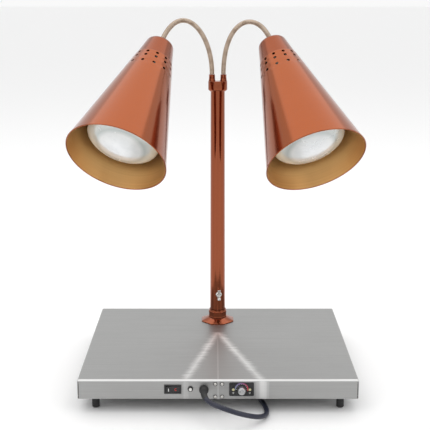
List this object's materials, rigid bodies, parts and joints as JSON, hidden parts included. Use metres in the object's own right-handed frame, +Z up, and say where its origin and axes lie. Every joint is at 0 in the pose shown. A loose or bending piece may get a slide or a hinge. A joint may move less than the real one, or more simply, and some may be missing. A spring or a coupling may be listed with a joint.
{
  "type": "heat lamp warmer",
  "caption": "Counter-top food warmer: heated stainless base on feet, copper post, and gooseneck heat lamps in conical copper shades.",
  "frame": {"origin": "on the table under the middle of the bounding box, without the free cord", "axes": "+Z up, -Y towards the control face, +X to the right seen from the front"},
  "size_m": [0.5502, 0.607, 0.6912],
  "materials": {
    "stainless": "brushed, satin",
    "zinc_screw": "bright plated",
    "black_rubber": "matt",
    "aluminium_sheet": "mill finish",
    "silicone_mat": "matt",
    "insulation_felt": "fibrous",
    "black_plastic": "moulded",
    "black_plate": "printed enamel",
    "white_plastic": "moulded",
    "galvanised": "plated steel",
    "satin_knob": "satin, turned",
    "amber_lens": "clear moulded",
    "polished_copper": "polished copper plate",
    "nylon_bush": "moulded",
    "brass_blades": "plain",
    "gooseneck_wire": "wound wire, copper wash",
    "copper_shade": "spun, copper finish",
    "porcelain": "glazed",
    "pearl_glass": "frosted face, silvered inside"
  },
  "bodies": {
    "base": {"bottom_plate": "stainless", "bottom_plate_screws": "zinc_screw", "breaker_case": "black_plastic", "breaker_nut": "black_plastic", "cord_coil": "black_rubber", "cord_gland": "black_rubber", "foot_nuts": "zinc_screw", "foot_studs": "zinc_screw", "gland_nut": "black_plastic", "heat_spreader": "aluminium_sheet", "heater_mat": "silicone_mat", "inner_mast": "galvanised", "insulation_blanket": "insulation_felt", "mast_nut": "zinc_screw", "panel_bracket": "galvanised", "panel_screws": "zinc_screw", "pilot_lights": "amber_lens", "plug_blades": "brass_blades", "post_collar": "polished_copper", "post_flange": "polished_copper", "power_cord": "black_rubber", "power_plug": "black_rubber", "rocker_switch_case": "black_plastic", "rubber_feet": "black_rubber", "terminal_block": "white_plastic", "thermostat_body": "black_plastic", "thermostat_plate": "black_plate", "top_pan": "stainless"},
    "rocker": {"rocker_key": "black_plastic"},
    "reset_button": {"breaker_button": "white_plastic"},
    "knob": {"thermostat_knob": "satin_knob"},
    "bush": {"guide_bush": "nylon_bush"},
    "post": {"post_tube": "polished_copper", "arm_yoke": "polished_copper", "arm_ferrules": "polished_copper"},
    "clamp_screw": {"wing_screw": "zinc_screw"},
    "left_arm_1": {"left_gooseneck_1": "gooseneck_wire"},
    "left_arm_2": {"left_gooseneck_2": "gooseneck_wire"},
    "left_arm_3": {"left_gooseneck_3": "gooseneck_wire"},
    "left_arm_4": {"left_gooseneck_4": "gooseneck_wire"},
    "left_lamp": {"left_gooseneck_5": "gooseneck_wire", "left_shade": "copper_shade", "left_neck_cap": "copper_shade", "left_arm_fitting": "polished_copper", "left_lamp_nut": "zinc_screw", "left_lamp_socket": "porcelain", "left_bulb_base": "brass_blades", "left_bulb_glass": "pearl_glass"},
    "right_arm_1": {"right_gooseneck_1": "gooseneck_wire"},
    "right_arm_2": {"right_gooseneck_2": "gooseneck_wire"},
    "right_arm_3": {"right_gooseneck_3": "gooseneck_wire"},
    "right_arm_4": {"right_gooseneck_4": "gooseneck_wire"},
    "right_lamp": {"right_gooseneck_5": "gooseneck_wire", "right_shade": "copper_shade", "right_neck_cap": "copper_shade", "right_arm_fitting": "polished_copper", "right_lamp_nut": "zinc_screw", "right_lamp_socket": "porcelain", "right_bulb_base": "brass_blades", "right_bulb_glass": "pearl_glass"}
  },
  "joints": [
    {"name": "rocker_tilt", "type": "hinge", "parent": "base", "child": "rocker", "pos_m": [-0.0816, -0.1959, 0.0446], "axis": [0, 0, 1], "range_deg": [-16, 0]},
    {"name": "reset_press", "type": "slide", "parent": "base", "child": "reset_button", "axis": [0, 1, 0], "range_m": [0, 0.0025], "stiffness_N_per_m": 400},
    {"name": "knob_turn", "type": "hinge", "parent": "base", "child": "knob", "pos_m": [0.0424, -0.1969, 0.0446], "axis": [0, 1, 0], "range_deg": [0, 180]},
    {"name": "post_swivel", "type": "hinge", "parent": "base", "child": "bush", "pos_m": [0, 0.1333, 0.062], "axis": [0, 0, 1], "range_deg": [-90, 90]},
    {"name": "post_height", "type": "slide", "parent": "bush", "child": "post", "axis": [0, 0, 1], "range_m": [0, 0.12]},
    {"name": "clamp_turn", "type": "hinge", "parent": "post", "child": "clamp_screw", "pos_m": [0, 0.1333, 0.124], "axis": [0.1219, -0.9925, 0], "range_deg": [0, 360]},
    {"name": "left_arm_swing", "type": "hinge", "parent": "post", "child": "left_arm_1", "pos_m": [-0.0115, 0.1333, 0.5806], "axis": [0, 0, 1], "range_deg": [-25, 25]},
    {"name": "left_arm_bend_1", "type": "hinge", "parent": "left_arm_1", "child": "left_arm_2", "pos_m": [-0.01349, 0.13495, 0.6081], "axis": [-0.788, 0.6157, 0], "range_deg": [-7, 7]},
    {"name": "left_arm_bend_2", "type": "hinge", "parent": "left_arm_2", "child": "left_arm_3", "pos_m": [-0.02561, 0.14317, 0.64868], "axis": [-0.788, 0.6157, 0], "range_deg": [-7, 7]},
    {"name": "left_arm_bend_3", "type": "hinge", "parent": "left_arm_3", "child": "left_arm_4", "pos_m": [-0.05202, 0.15294, 0.68087], "axis": [-0.788, 0.6157, 0], "range_deg": [-7, 7]},
    {"name": "left_arm_bend", "type": "hinge", "parent": "left_arm_4", "child": "left_lamp", "pos_m": [-0.08968, 0.14167, 0.67847], "axis": [-0.788, 0.6157, 0], "range_deg": [-7, 7]},
    {"name": "right_arm_swing", "type": "hinge", "parent": "post", "child": "right_arm_1", "pos_m": [0.0115, 0.1333, 0.5806], "axis": [0, 0, 1], "range_deg": [-25, 25]},
    {"name": "right_arm_bend_1", "type": "hinge", "parent": "right_arm_1", "child": "right_arm_2", "pos_m": [0.01269, 0.13382, 0.60604], "axis": [-0.788, -0.6157, 0], "range_deg": [-7, 7]},
    {"name": "right_arm_bend_2", "type": "hinge", "parent": "right_arm_2", "child": "right_arm_3", "pos_m": [0.0212, 0.13695, 0.64469], "axis": [-0.788, -0.6157, 0], "range_deg": [-7, 7]},
    {"name": "right_arm_bend_3", "type": "hinge", "parent": "right_arm_3", "child": "right_arm_4", "pos_m": [0.04332, 0.14184, 0.67677], "axis": [-0.788, -0.6157, 0], "range_deg": [-7, 7]},
    {"name": "right_arm_bend", "type": "hinge", "parent": "right_arm_4", "child": "right_lamp", "pos_m": [0.08, 0.13675, 0.67933], "axis": [-0.788, -0.6157, 0], "range_deg": [-7, 7]}
  ],
  "couplings": [
    {"joint": "left_arm_bend_1", "follows": "left_arm_bend", "ratio": 1},
    {"joint": "left_arm_bend_2", "follows": "left_arm_bend", "ratio": 1},
    {"joint": "left_arm_bend_3", "follows": "left_arm_bend", "ratio": 1},
    {"joint": "right_arm_bend_1", "follows": "right_arm_bend", "ratio": 1},
    {"joint": "right_arm_bend_2", "follows": "right_arm_bend", "ratio": 1},
    {"joint": "right_arm_bend_3", "follows": "right_arm_bend", "ratio": 1}
  ]
}
